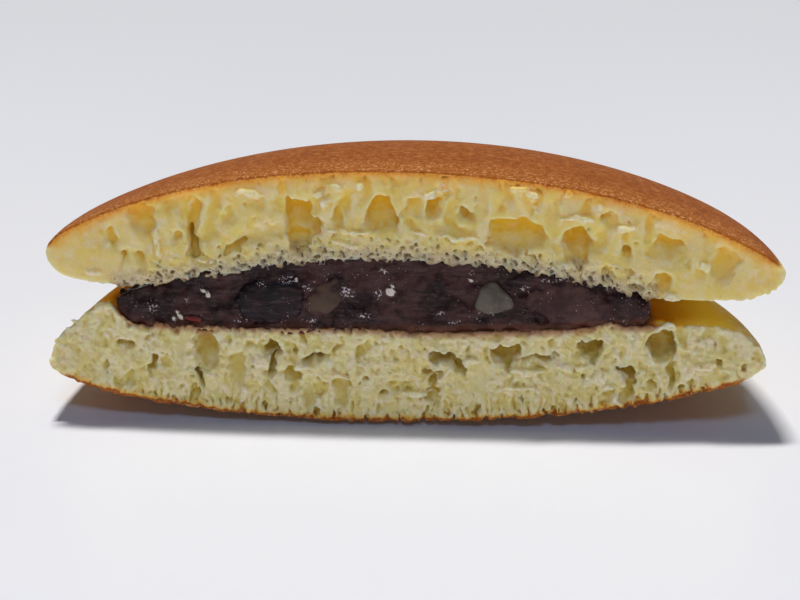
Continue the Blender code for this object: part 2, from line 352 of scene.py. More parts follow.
def upper_inner(x, y):
    r = np.hypot(x - ARCH_CENTRE, y)
    arch = 1.0 - (r / ARCH_RADIUS) ** 2.2
    arch = (arch + np.hypot(arch, 0.12)) / 2
    return UPPER_INNER_EDGE + ARCH_RISE * arch - 0.01 * x


def lower_radius(angle):
    return LOWER_RADIUS + 0.35 * np.cos(5 * angle + 1.0)


def upper_radius(angle):
    return UPPER_RADIUS + 0.3 * np.cos(4 * angle + 2.0)


def swollen_radius(angle):
    """The upper pancake's radius with the crumb that swells out at the left end of the cut."""
    return upper_radius(angle) + 0.5 * soft_step(np.cos(angle), -0.85, -1.0)


def paste_radius(angle):
    return PASTE_RADIUS + 0.7 * np.cos(6 * angle + 0.6) * np.sin(angle) - 0.4 * np.sin(11 * angle)


def lower_rim(x):
    return LOWER_RIM_HEIGHT + 0.016 * x


def upper_rim(x):
    return UPPER_RIM_HEIGHT - 0.008 * x


def share_of_radius(x, y, centre, radius):
    return np.hypot(x - centre, y) / radius(np.arctan2(np.maximum(y, 0.0), x - centre))


def disc_field(z, below, above, rim, share, sharp_below, sharp_above):
    """Above 0 inside a disc between two faces that meet in a rim: about how far from them, in millimetres."""
    within = np.clip((0.85 - share) / 0.3, 0.0, 1.0)
    rim = rim + ((below + above) / 2 - rim) * within * within * (3 - 2 * within)
    over = z > rim
    span = np.where(over, above - rim, rim - below)
    height = np.abs(z - rim) / np.maximum(span, 0.3)
    edge = np.minimum(share, 1.25) ** np.where(over, sharp_above, sharp_below)
    return (1.0 - height**2 - edge) * span / 2


def smooth_min(a, b, blend):
    near = np.maximum(blend - np.abs(a - b), 0.0) / blend
    return np.minimum(a, b) - near * near * blend / 4


def lumps(axes, size, seed):
    """Smooth noise from -1 to 1 on the grid of those axes, with lumps of that size, or of a size for each."""
    rng = np.random.default_rng(seed)
    spans = []
    for axis, length in zip(axes, np.broadcast_to(size, 3)):
        at = (axis - axis[0]) / length
        low = np.floor(at).astype(int)
        part = (at - low).astype(np.float32)
        spans.append((low, part * part * (3 - 2 * part)))
    values = rng.uniform(-1, 1, [low[-1] + 2 for low, _ in spans]).astype(np.float32)
    for dim, (low, part) in enumerate(spans):
        shape = [1, 1, 1]
        shape[dim] = -1
        part = part.reshape(shape)
        values = np.take(values, low, dim) * (1 - part) + np.take(values, low + 1, dim) * part
    return values


def grid_axes(x_range, z_range, step=GRID, front=-0.9):
    """Grid lines, even along x and z and wider apart behind the cut region."""
    xs = np.arange(x_range[0], x_range[1], step)
    zs = np.arange(z_range[0], z_range[1], step)
    ys = list(np.arange(front, FINE_DEPTH, step))
    gap = step
    while ys[-1] < GRID_BACK:
        gap = min(gap * 1.2, WIDEST_GRID)
        ys.append(ys[-1] + gap)
    return xs, np.array(ys), zs


def window(axis, middle, reach):
    """The stretch of a grid axis that lies within reach of middle."""
    return slice(*np.searchsorted(axis, (middle - reach, middle + reach)))


def spread(axes):
    """The grid's x, y and z, each along its own dimension. In front of the cut y stays 0."""
    xs, ys, zs = axes
    return xs[:, None, None], np.maximum(ys, 0.0)[None, :, None], zs[None, None, :]


def turned(u, w, degrees):
    turn = math.radians(degrees)
    return u * math.cos(turn) + w * math.sin(turn), w * math.cos(turn) - u * math.sin(turn)


def bends(axes, coarse, size, fine, seed):
    """How far holes are bent along x and along z: coarse lumps of that size, and fine ones."""
    return [
        coarse * lumps(axes, size, first) + fine * lumps(axes, (0.6, 0.8, 0.6), first + 1)
        for first in (seed, seed + 2)
    ]


def dig(field, axes, warp, holes, blend):
    """Takes holes out of field. Each is an egg, warped so that no two look alike."""
    xs, ys, zs = axes
    for x, z, half_width, half_height, middle, half_depth, *uneven in holes:
        lean, widening = uneven or (0.0, 0.0)
        reach = max(half_width, half_height) * (1.3 + abs(widening)) + 0.9 + CLIMB * (middle + half_depth)
        i, k = window(xs, x, reach), window(zs, z, reach)
        j = slice(*np.searchsorted(ys, (-1.5, middle + half_depth + 0.8)))
        if i.start == i.stop or k.start == k.stop:
            continue
        span = (i, j, k)
        u = xs[i, None, None] - x + warp[0][span]
        w = zs[None, None, k] - z + warp[1][span] - CLIMB * (ys[None, j, None] - 0.4)
        u, w = turned(u, w, lean)
        width = half_width * np.clip(1.0 + widening * w / half_height, 0.25, 2.0)
        v = ys[None, j, None] - middle
        size = sum(np.abs(part) ** SQUARENESS for part in (u / width, w / half_height, v / half_depth))
        wall = (size ** (1 / SQUARENESS) - 1.0) * min(half_width, half_height, half_depth)
        field[span] = smooth_min(field[span], wall.astype(np.float32), blend)


def swirl(x, z, width, height, seed):
    """Smooth noise, about -1 to 1, at any places of the cut face, with lumps of that width and height."""
    angle = np.random.default_rng(seed).uniform(0, 2 * math.pi, (64, 64))
    u, w = x / width + 320.3, z / height + 320.7
    i, k = np.floor(u).astype(int), np.floor(w).astype(int)
    u, w = u - i, w - k

    def from_corner(right, up):
        turn = angle[(i + right) % 64, (k + up) % 64]
        return np.cos(turn) * (u - right) + np.sin(turn) * (w - up)

    across, along = soft_step(u, 0, 1), soft_step(w, 0, 1)
    low = from_corner(0, 0) * (1 - across) + from_corner(1, 0) * across
    high = from_corner(0, 1) * (1 - across) + from_corner(1, 1) * across
    return 1.6 * (low * (1 - along) + high * along)


def torn_face(axes, outer, inner, centre, seed, layers, ledges):
    """How far the cut face is torn back, in millimetres, and how much of each place is a hollow and a ledge.

    Each layer has the width and height of its lumps, the noise where a hollow starts and where it is at its
    deepest, that depth, and the share of the way from browned face to paste by which it has died out.
    """
    xs, _, zs = axes
    flat_x, flat_z = np.meshgrid(xs, zs, indexing="ij")
    swirls = [swirl(flat_x, flat_z, size, size, seed + n) for n, size in enumerate((2.2, 0.8, 2.2, 0.8))]
    x = flat_x + 0.45 * swirls[0] + 0.22 * swirls[1]
    z = flat_z + 0.45 * swirls[2] + 0.22 * swirls[3]
    share = (flat_z - outer(flat_x, 0.0)) / (inner(flat_x, 0.0) - outer(flat_x, 0.0))
    towards_end = 1.0 - 0.65 * soft_step(np.abs(flat_x - centre), 31.0, 41.0)
    torn = np.zeros(x.shape)
    hollow = np.zeros(x.shape)
    for number, (width, height, start, full, depth, dies_out) in enumerate(layers):
        there = soft_step(swirl(x, z, width, height, seed + 10 + number), start, full)
        there = there * soft_step(share, dies_out + 0.12, dies_out - 0.12) * soft_step(share, 0.0, 0.14)
        torn += depth * there * towards_end
        hollow = np.maximum(hollow, there * min(depth / 0.5, 1.0))
    proud = np.zeros(x.shape)
    for ledge_x, ledge_z, half_width, half_height, stands_out in ledges:
        size = np.hypot((x - ledge_x) / half_width, (z - ledge_z) / half_height)
        there = soft_step(size, 1.25, 0.75)
        torn += (-stands_out - torn) * there
        proud = np.maximum(proud, there)
    return torn[:, None, :], hollow, proud


def surface(field, axes):
    """The surface where field changes sign, as points, four-sided faces and each point's grid cell."""
    inside = field > 0.0
    rings = []
    places = []
    for axis in range(3):
        second, third = (axis + 1) % 3, (axis + 2) % 3
        low = [slice(None)] * 3
        high = [slice(None)] * 3
        low[axis] = slice(0, -1)
        high[axis] = slice(1, None)
        at = np.argwhere(inside[tuple(low)] != inside[tuple(high)])
        following = at.copy()
        following[:, axis] += 1
        here = field[tuple(at.T)]
        there = field[tuple(following.T)]
        place = at.astype(float)
        place[:, axis] += here / (here - there)
        ring = []
        for step_second, step_third in ((0, 0), (-1, 0), (-1, -1), (0, -1)):
            cell = at.copy()
            cell[:, second] += step_second
            cell[:, third] += step_third
            ring.append(np.ravel_multi_index(cell.T, field.shape))
        ring = np.stack(ring, 1)
        turned = ~inside[tuple(at.T)]
        ring[turned] = ring[turned, ::-1]
        rings.append(ring)
        places.append(np.repeat(place, 4, axis=0))
    used, slot = np.unique(np.concatenate(rings), return_inverse=True)
    slot = slot.reshape(-1)
    places = np.concatenate(places)
    count = np.bincount(slot)
    mean = np.stack([np.bincount(slot, places[:, d]) / count for d in range(3)], 1)
    points = np.stack([np.interp(mean[:, d], np.arange(len(axes[d])), axes[d]) for d in range(3)], 1)
    return points, slot.reshape(-1, 4), np.stack(np.unravel_index(used, field.shape), 1)


def keep_largest(points, faces, cells):
    """Drops bubbles closed inside the crumb and scraps that hang in the air."""
    label = np.arange(len(points))
    while True:
        lowest = label[faces].min(axis=1)
        joined = label.copy()
        np.minimum.at(joined, faces.ravel(), np.repeat(lowest, faces.shape[1]))
        joined = joined[joined]
        if np.array_equal(joined, label):
            break
        label = joined
    largest = np.argmax(np.bincount(label))
    keep = label == largest
    index = np.cumsum(keep) - 1
    return points[keep], index[faces[keep[faces[:, 0]]]], cells[keep]


def thin_out(points, faces, cells, far):
    """Merges points that are far, where the form is smooth, and makes the faces three-sided."""
    triangles = np.concatenate([faces[:, [0, 1, 2]], faces[:, [0, 2, 3]]])
    key = cells.copy()
    key[far, 0] = key[far, 0] // THINNING * THINNING
    key[far, 2] = key[far, 2] // THINNING * THINNING
    close = far & (points[:, 1] < FINE_DEPTH)
    key[close, 1] = key[close, 1] // THINNING_IN * THINNING_IN
    key[~far, 1] = -1 - np.arange((~far).sum())
    slot = np.unique(key, axis=0, return_inverse=True)[1].reshape(-1)
    count = np.bincount(slot)
    merged = np.stack([np.bincount(slot, points[:, d]) / count for d in range(3)], 1)
    triangles = slot[triangles]
    whole = (triangles != np.roll(triangles, 1, axis=1)).all(axis=1)
    return merged, triangles[whole]


def hollowness(points, triangles, rounds):
    """How far each point lies inside the surface smoothed that many times: below 0 on a ridge."""
    edges = np.concatenate([triangles[:, [0, 1]], triangles[:, [1, 2]], triangles[:, [2, 0]]])
    count = np.bincount(edges[:, 0], minlength=len(points))[:, None].clip(1)
    smooth = points.copy()
    for _ in range(rounds):
        around = [np.bincount(edges[:, 0], smooth[edges[:, 1], d], len(points)) for d in range(3)]
        smooth = 0.3 * smooth + 0.7 * np.stack(around, 1) / count
    normal = np.cross(
        smooth[triangles[:, 1]] - smooth[triangles[:, 0]], smooth[triangles[:, 2]] - smooth[triangles[:, 0]]
    )
    normals = np.zeros_like(points)
    for d in range(3):
        for corner in range(3):
            normals[:, d] += np.bincount(triangles[:, corner], normal[:, d], len(points))
    normals /= np.linalg.norm(normals, axis=1, keepdims=True).clip(1e-9)
    return ((smooth - points) * normals).sum(1)


def resting_matrix():
    """From the cut's frame, in millimetres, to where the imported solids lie: matched on their box."""
    roll = Matrix.Rotation(-ROLL_BACK, 4, "X") @ Matrix.Scale(MM, 4)
    angle = np.linspace(0, math.pi, 181)[:, None]
    share = np.linspace(0, 1, 161)[None, :]
    corners = []
    for centre, radius, height, rim, sharp in (
        (UPPER_CENTRE, upper_radius, upper_outer, upper_rim, UPPER_OUTER_TURN),
        (LOWER_CENTRE, lower_radius, lower_outer, lower_rim, LOWER_OUTER_TURN),
    ):
        x = centre + share * radius(angle) * np.cos(angle)
        y = share * radius(angle) * np.sin(angle)
        edge = rim(x)
        z = edge + (height(x, y) - edge) * np.sqrt(np.maximum(1 - share**sharp, 0))
        corners.append(np.stack([x, y, z], -1).reshape(-1, 3))
    turned = np.concatenate(corners) @ np.array(roll.to_3x3()).T
    low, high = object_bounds()
    shift = Vector(
        (
            (low[0] + high[0]) / 2 - (turned[:, 0].min() + turned[:, 0].max()) / 2,
            (low[1] + high[1]) / 2 - (turned[:, 1].min() + turned[:, 1].max()) / 2,
            high[2] - turned[:, 2].max(),
        )
    )
    return Matrix.Translation(shift) @ roll


def new_object(name, data):
    obj = bpy.data.objects.new(name, data)
    bpy.context.scene.collection.objects.link(obj)
    return obj


def make_mesh(name, points, faces, matrix, values):
    """An object of those points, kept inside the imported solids' box, with values as float attributes."""
    spots = np.c_[points, np.ones(len(points))] @ np.array(matrix).T[:, :3]
    spots = np.clip(spots, *np.array(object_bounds()))
    mesh = bpy.data.meshes.new(name)
    mesh.vertices.add(len(spots))
    mesh.vertices.foreach_set("co", spots.astype(np.float32).ravel())
    corners = faces.shape[1]
    mesh.loops.add(faces.size)
    mesh.loops.foreach_set("vertex_index", faces.ravel().astype(np.int32))
    mesh.polygons.add(len(faces))
    mesh.polygons.foreach_set("loop_start", np.arange(0, faces.size, corners, dtype=np.int32))
    mesh.update(calc_edges=True)
    mesh.validate()
    mesh.shade_smooth()
    for key, value in values.items():
        layer = mesh.attributes.new(key, "FLOAT", "POINT")
        layer.data.foreach_set("value", np.ascontiguousarray(value, np.float32))
    return new_object(name, mesh)


def dig_random(field, axes, warp, seed, outer, inner, kinds):
    """Takes seeded holes of each kind out of field: blend, count, and the ranges their measures come from.

    Share runs from 0 at the browned face to 1 at the inner face.
    """
    rng = np.random.default_rng(seed)
    for blend, count, x_range, shares, width, tall, middle, depth in kinds:
        holes = []
        for _ in range(count):
            x = rng.uniform(*x_range)
            share = rng.uniform(*shares)
            top = float(outer(x, 0.0))
            z = top + (float(inner(x, 0.0)) - top) * share
            half_width = rng.uniform(*width)
            half_height = half_width * rng.uniform(*tall)
            behind = rng.uniform(*middle)
            half_depth = rng.uniform(*depth)
            lean = rng.uniform(-12, 12)
            widening = rng.uniform(-0.3, 0.3)
            holes.append((x, z, half_width, half_height, behind, half_depth, lean, widening))
        dig(field, axes, warp, holes, blend)


def upper_disc(x, y, z, hanging=0.0):
    """The upper pancake as a field, with its inner face lowered by hanging."""
    share = share_of_radius(x, y, UPPER_CENTRE, swollen_radius)
    below = upper_inner(x, y) + 0.2 - hanging
    above = upper_outer(x, y) - 0.06
    return disc_field(z, below, above, upper_rim(x), share, UPPER_INNER_TURN, UPPER_OUTER_TURN)


def lower_disc(x, y, z, standing=0.0):
    """The lower pancake as a field, with its inner face raised by standing."""
    share = share_of_radius(x, y, LOWER_CENTRE, lower_radius)
    below = lower_outer(x, y) + 0.08
    above = lower_inner(x, y) - 0.1 + standing
    return disc_field(z, below, above, lower_rim(x), share, LOWER_OUTER_TURN, LOWER_INNER_TURN)


def upper_shape():
    """The upper pancake's grid and field, the hollows and ledges of its cut, and how far its lip hangs."""
    axes = grid_axes((-46.3, 46.9), (14.4, 33.3))
    ys = axes[1]
    x, y, z = spread(axes)
    inner = upper_inner(x, y)
    outer = upper_outer(x, y)
    at_cut = np.exp(-((y / 1.3) ** 2))
    touching = np.clip((34.0 - np.hypot(x - PASTE_CENTRE, y)) / 2.0, 0.2, 1)
    ragged = 0.5 * lumps(axes, (1.0, 0.9, 0.8), 11) + 0.5 * lumps(axes, 0.45, 12)
    ragged = ragged + 0.2 * lumps(axes, 0.36, 20)
    low_down = np.clip(1.0 - (z - inner) / 1.9, 0.0, 1.0)
    hanging = (0.75 + 0.45 * np.exp(-(((x + 21.5) / 4.5) ** 2))) * at_cut * touching
    disc = upper_disc(x, y, z, hanging)
    bare = soft_step(x, 27.0, 31.0) * soft_step(upper_rim(x) - z, 1.0, 3.0)
    bare = bare * np.clip(1.0 - disc / 1.5, 0.0, 1.0)
    rough = np.maximum(1.1 * touching * low_down, 0.4 * bare)
    field = (disc - rough * np.clip(ragged + 0.35, 0, 2) * at_cut).astype(np.float32)
    layers = (
        (1.7, 4.2, -0.05, 0.75, 0.68, 0.66),
        (0.9, 2.0, 0.0, 0.75, 0.15, 0.8),
    )
    torn, hollow, proud = torn_face(axes, upper_outer, upper_inner, UPPER_CENTRE, 101, layers, UPPER_LEDGES)
    porous = np.clip(1.0 - (z - inner) / 3.2, 0.0, 1.0) * touching
    face = ys[None, :, None] - 0.25 - torn - 0.14 * lumps(axes, (3.0, 50.0, 4.0), 13)
    face = face - (0.045 + 0.26 * porous) * lumps(axes, 0.55, 14)
    face = face - (0.04 + 0.16 * porous) * lumps(axes, 0.36, 10)
    field = smooth_min(field, face.astype(np.float32), 0.12)
    warp = bends(axes, 0.5, (1.7, 2.5, 1.7), 0.25, 15)
    whole = field.copy()
    kinds = (  # cells, pits and the pores over the paste
        (0.6, 13, (-36, 37), (0.15, 0.7), (0.3, 0.65), (1.2, 2.4), (0.1, 0.4), (0.7, 1.2)),
        (0.12, 60, (-36, 38), (0.2, 0.9), (0.16, 0.26), (0.8, 1.6), (0.1, 0.3), (0.3, 0.5)),
        (0.1, 300, (-33, 30), (0.74, 1.04), (0.11, 0.30), (0.6, 1.2), (0.1, 0.4), (0.3, 0.8)),
    )
    dig_random(field, axes, warp, 5, upper_outer, upper_inner, kinds)
    dig(field, axes, warp, UPPER_HOLES, 0.65)
    # no hole breaks through the browned skin
    field += (whole - field) * soft_step(outer - z, 0.6, 0.35).astype(np.float32)
    field += (0.03 + 0.05 * porous) * lumps(axes, 0.4, 19) * (ys < FINE_DEPTH)[None, :, None]
    return axes, close_edges(field), hollow, proud, (hanging - 0.2)[:, :, 0]


def lower_shape():
    """The same of the lower pancake, whose lip stands up."""
    axes = grid_axes((-46.2, 45.2), (-0.9, 17.3))
    ys = axes[1]
    x, y, z = spread(axes)
    outer = lower_outer(x, y)
    inner = lower_inner(x, y)
    at_cut = np.exp(-((y / 1.0) ** 2))
    touching = np.clip((34.0 - np.hypot(x - PASTE_CENTRE, y)) / 2.0, 0.5, 1)
    ragged = 0.5 * lumps(axes, (0.9, 0.9, 0.8), 31) + 0.5 * lumps(axes, 0.45, 32)
    high_up = np.clip(1.0 - (inner + 0.5 - z) / 1.2, 0.0, 1.0) * (0.3 + 0.7 * touching)
    low_down = np.clip(1.0 - (z - outer) / 1.4, 0.0, 1.0)
    lip = 0.4 + 0.75 * soft_step(x, 5.0, -8.0) + 0.9 * np.exp(-(((x - 24.6) / 1.5) ** 2))
    lip = lip + 1.1 * np.exp(-(((x - 32.0) / 1.1) ** 2))
    standing = lip * at_cut * touching
    disc = lower_disc(x, y, z, standing)
    bare = soft_step(z - lower_rim(x) + 1.8 * soft_step(x, 10.0, -10.0), 1.0, 3.0)
    bare = bare * soft_step(np.abs(x - PASTE_CENTRE), 31.0, 34.0)
    bare = bare * np.clip(1.0 - disc / 1.5, 0.0, 1.0) * (1.2 - 0.5 * soft_step(x, -10.0, 10.0))
    rough = (np.maximum(0.6 * high_up, bare) + 0.5 * low_down) * np.clip(ragged + 0.25, 0, 2) * at_cut
    crest = soft_step(x, -27.0, -32.0) * soft_step(z - lower_rim(x), -0.5, 1.5) * at_cut
    bumps = 0.75 * crest * np.clip(lumps(axes, 0.9, 40), 0, 1)
    field = (disc - rough + bumps).astype(np.float32)
    layers = (
        (1.6, 2.6, 0.2, 0.75, 0.55, 1.2),
        (0.75, 0.9, 0.1, 0.6, 0.2, 1.2),
        (0.4, 0.45, 0.05, 0.6, 0.14, 1.2),
        (0.55, 3.6, 0.2, 0.5, 0.35, 0.3),
    )
    torn, hollow, proud = torn_face(axes, lower_outer, lower_inner, LOWER_CENTRE, 201, layers, LOWER_LEDGES)
    face = ys[None, :, None] - 0.25 - torn - 0.16 * lumps(axes, (2.4, 50.0, 2.4), 33)
    face = face - 0.13 * lumps(axes, 0.55, 34) - 0.11 * lumps(axes, 0.36, 30)
    field = smooth_min(field, face.astype(np.float32), 0.1)
    warp = bends(axes, 0.45, (1.5, 2.0, 1.5), 0.3, 35)
    kinds = (  # cells, tall holes along the skin, and pits
        (0.25, 9, (-38, 39), (0.15, 0.85), (0.3, 0.7), (0.8, 2.2), (0.1, 0.4), (0.6, 1.2)),
        (0.1, 80, (-38, 40), (-0.02, 0.16), (0.16, 0.36), (1.6, 3.2), (0.0, 0.4), (0.5, 1.0)),
        (0.1, 90, (-40, 40), (0.08, 0.95), (0.14, 0.26), (0.8, 1.4), (0.0, 0.3), (0.3, 0.6)),
    )
    dig_random(field, axes, warp, 6, lower_outer, lower_inner, kinds)
    dig(field, axes, warp, LOWER_HOLES, 0.3)
    field += 0.07 * lumps(axes, 0.4, 39) * (ys < FINE_DEPTH)[None, :, None]
    return axes, close_edges(field), hollow, proud, (standing - 0.1)[:, :, 0]


def close_edges(field):
    """Makes the grid's outermost layers empty, so that every surface closes."""
    for dim in range(3):
        for end in (0, -1):
            index = [slice(None)] * 3
            index[dim] = end
            field[tuple(index)] = -1.0
    return field


def make_pancake(name, shape, disc, outer, inner, rim, side, matrix):
    """The pancake whose browned face looks up where side is 1, and down where it is -1."""
    axes, field, hollow, proud, lip = shape()
    points, faces, cells = keep_largest(*surface(field, axes))
    x, y, z = points.T
    y = np.maximum(y, 0.0)
    on_skin = np.abs(outer(x, y) - z) < 0.16
    on_inside = np.abs(inner(x, y) - z) < 0.3
    far = (y > FINE_DEPTH + 0.6) | ((on_skin | on_inside) & (y > 1.6))
    # the even part of the browned face counts as one level, so that fewer faces fold over
    cells[far & on_skin & (np.hypot(x, y) < EVEN_RADIUS), 2] = -THINNING
    points, faces = thin_out(points, faces, cells, far)
    x, y, z = points.T
    y = np.maximum(y, 0.0)
    i, j, k = (np.clip(np.searchsorted(axes[d], points[:, d]), 0, len(axes[d]) - 1) for d in range(3))
    values = {
        "skin": np.clip(side * (outer(x, y) - z), -1, 12),
        "above_rim": np.clip(side * (z - rim(x)), -6, 6),
        "deep": np.clip(y, -1, 8),
        "paste": np.clip(side * (z - inner(x, y)) + lip[i, j], -1, 8),
        "off_paste": np.clip(np.hypot(x - PASTE_CENTRE, y) - PASTE_RADIUS, -5, 12),
        "shell": np.clip(disc(x, y, z), -1, 8),
        "hollow": hollow[i, k],
        "proud": proud[i, k],
        "pit": hollowness(points, faces, 6),
        "dip": hollowness(points, faces, 60),
    }
    return make_mesh(name, points, faces, matrix, values)


def make_paste(matrix):
    """The heap of paste with its beans, specks and the spots of its painted glints at the cut."""
    axes = grid_axes((-37.5, 31.5), (9.6, 22.4), PASTE_GRID, -1.2)
    xs, ys, zs = axes
    x, y, z = spread(axes)
    share = share_of_radius(x, y, PASTE_CENTRE, paste_radius)
    below = lower_inner(x, y) - 0.25
    above = upper_inner(x, y) + 0.3
    rim = 0.6 * below + 0.4 * above
    to_left = soft_step(x, -14.0, -30.0)
    field = disc_field(z, below, above, rim, share, 44.0 - 32.0 * to_left, 30.0 - 19.0 * to_left)
    field = field.astype(np.float32)
    face = ys[None, :, None] - 0.75 - 0.35 * lumps(axes, (2.6, 50.0, 1.6), 51)
    face = face - 0.22 * lumps(axes, 0.9, 52) - 0.12 * lumps(axes, 0.5, 55)
    field = smooth_min(field, face.astype(np.float32), 0.3)
    field += (0.5 * lumps(axes, (1.6, 1.6, 1.1), 56) * soft_step(share, 0.85, 0.97)).astype(np.float32)
    tone = np.full(field.shape, 0.25, np.float32)
    bean = np.zeros(field.shape, np.float32)
    wobble = 0.25 * lumps(axes, 1.5, 53) + 0.1 * lumps(axes, (0.6, 0.6, 0.6), 57)
    for cx, height, half_length, half_height, tilt, level, shade, cornered in BEANS:
        cz = float(lower_inner(np.array(cx), np.array(0.0))) + height
        reach = half_length + 0.8
        i, k = window(xs, cx, reach), window(zs, cz, reach)
        j = slice(0, int(np.searchsorted(ys, 5.0)))
        u, w = turned(xs[i, None, None] - cx, zs[None, None, k] - cz, tilt)
        back = ys[None, j, None] - level
        behind = np.maximum(back - 0.6, 0) / 2.3
        size = np.sqrt((u / half_length) ** 2 + (w / half_height) ** 2 + behind**2)
        size = size * (1.0 + cornered * np.cos(3 * np.arctan2(w / half_height, u / half_length) + 3.9))
        egg = (1.0 - size) * min(half_height, 2.0) + wobble[i, j, k]
        dome = 0.35 * (u / half_length) ** 2 + 0.35 * (w / half_height) ** 2
        egg = smooth_min(egg, back - dome + 0.3 * wobble[i, j, k], 0.4).astype(np.float32)
        inside = soft_step(egg - field[i, j, k], -0.35, 0.45)
        tone[i, j, k] += (shade - tone[i, j, k]) * inside
        bean[i, j, k] = np.maximum(bean[i, j, k], inside)
        field[i, j, k] = -smooth_min(-field[i, j, k], -egg, 0.25)
    for cx, cz, radius in SPECKS:
        i, k = window(xs, cx, 1.2), window(zs, cz, 1.2)
        gap = np.hypot(xs[i, None, None] - cx, zs[None, None, k] - cz) + 1.5 * wobble[i, :, k]
        there = soft_step(gap, radius * 1.2, radius * 0.8).astype(np.float32)
        tone[i, :, k] += (3.0 - tone[i, :, k]) * there
        field[i, :, k] += 0.25 * there * (ys > -0.5)[None, :, None]
    # painted glints: how much of each place lies in a glint spot
    wet = np.zeros((len(xs), len(zs)))
    for cx, cz, half_width, half_height in GLINTS:
        size = np.hypot((xs[:, None] - cx) / half_width, (zs[None, :] - cz) / half_height)
        wet = np.maximum(wet, soft_step(size + 0.8 * wobble[:, 0, :], 1.3, 0.5))
    limit = np.broadcast_to(np.minimum(z - below, above - z), field.shape)
    field = smooth_min(field, limit.astype(np.float32), 0.2)
    field += 0.06 * lumps(axes, 0.45, 54)
    points, faces, cells = keep_largest(*surface(close_edges(field), axes))
    near = np.minimum(cells + 1, np.array(field.shape) - 1)
    values = {
        "tone": tone[tuple(near.T)],
        "bean": bean[tuple(near.T)],
        "wet": wet[near[:, 0], near[:, 2]] * soft_step(points[:, 1], 3.0, 1.0),
        "low": points[:, 2] - lower_inner(points[:, 0], np.maximum(points[:, 1], 0)),
    }
    return make_mesh("bean_paste_visual", points, faces, matrix, values)


class Shader:
    """A material's nodes, added one at a time."""

    def __init__(self, name):
        self.material = bpy.data.materials.new(name)
        self.material.use_nodes = True
        self.tree = self.material.node_tree
        self.principled = self.tree.nodes["Principled BSDF"]

    def put(self, target, value):
        """Links a socket to target, or sets it to a number or a colour."""
        if isinstance(value, bpy.types.NodeSocket):
            self.tree.links.new(value, target)
        elif isinstance(value, (tuple, list)) and len(value) == 3 and target.type == "RGBA":
            target.default_value = (*value, 1.0)
        else:
            target.default_value = value

    def add(self, kind, settings=None, **inputs):
        """A new node with its inputs given by name, or by number as _0, _1 and so on."""
        node = self.tree.nodes.new(kind)
        for key, value in (settings or {}).items():
            setattr(node, key, value)
        for key, value in inputs.items():
            target = node.inputs[int(key[1:])] if key[0] == "_" else node.inputs[key.replace("_", " ")]
            self.put(target, value)
        return node

    def value(self, name):
        return self.add("ShaderNodeAttribute", {"attribute_name": name}).outputs["Fac"]

    def place(self):
        return self.add("ShaderNodeTexCoord").outputs["Object"]

    def noise(self, size_mm, detail=2.0, rough=0.5, stretch=(1, 1, 1)):
        """Noise from 0 to 1 with lumps of about that many millimetres."""
        where = self.add("ShaderNodeMapping", _0=self.place(), Scale=stretch).outputs[0]
        return self.add(
            "ShaderNodeTexNoise", Vector=where, Scale=1000.0 / size_mm, Detail=detail, Roughness=rough
        ).outputs["Fac"]

    def math(self, kind, a, b):
        return self.add("ShaderNodeMath", {"operation": kind}, _0=a, _1=b).outputs[0]

    def times(self, a, b):
        return self.math("MULTIPLY", a, b)

    def ramp(self, value, low, high, out_low=0.0, out_high=1.0):
        """Runs smoothly from out_low at low to out_high at high."""
        return self.add(
            "ShaderNodeMapRange",
            {"interpolation_type": "SMOOTHSTEP"},
            _0=value, _1=low, _2=high, _3=out_low, _4=out_high,
        ).outputs[0]

    def mix(self, share, a, b):
        return self.add("ShaderNodeMix", {"data_type": "RGBA"}, _0=share, _6=a, _7=b).outputs[2]

    def bump(self, height, distance_mm, strength=1.0, normal=None):
        node = self.add("ShaderNodeBump", Strength=strength, Distance=distance_mm * MM, Height=height)
        if normal:
            self.put(node.inputs["Normal"], normal)
        return node.outputs[0]

    def finish(self, **inputs):
        for key, value in inputs.items():
            self.put(self.principled.inputs[key.replace("_", " ")], value)
        return self.material


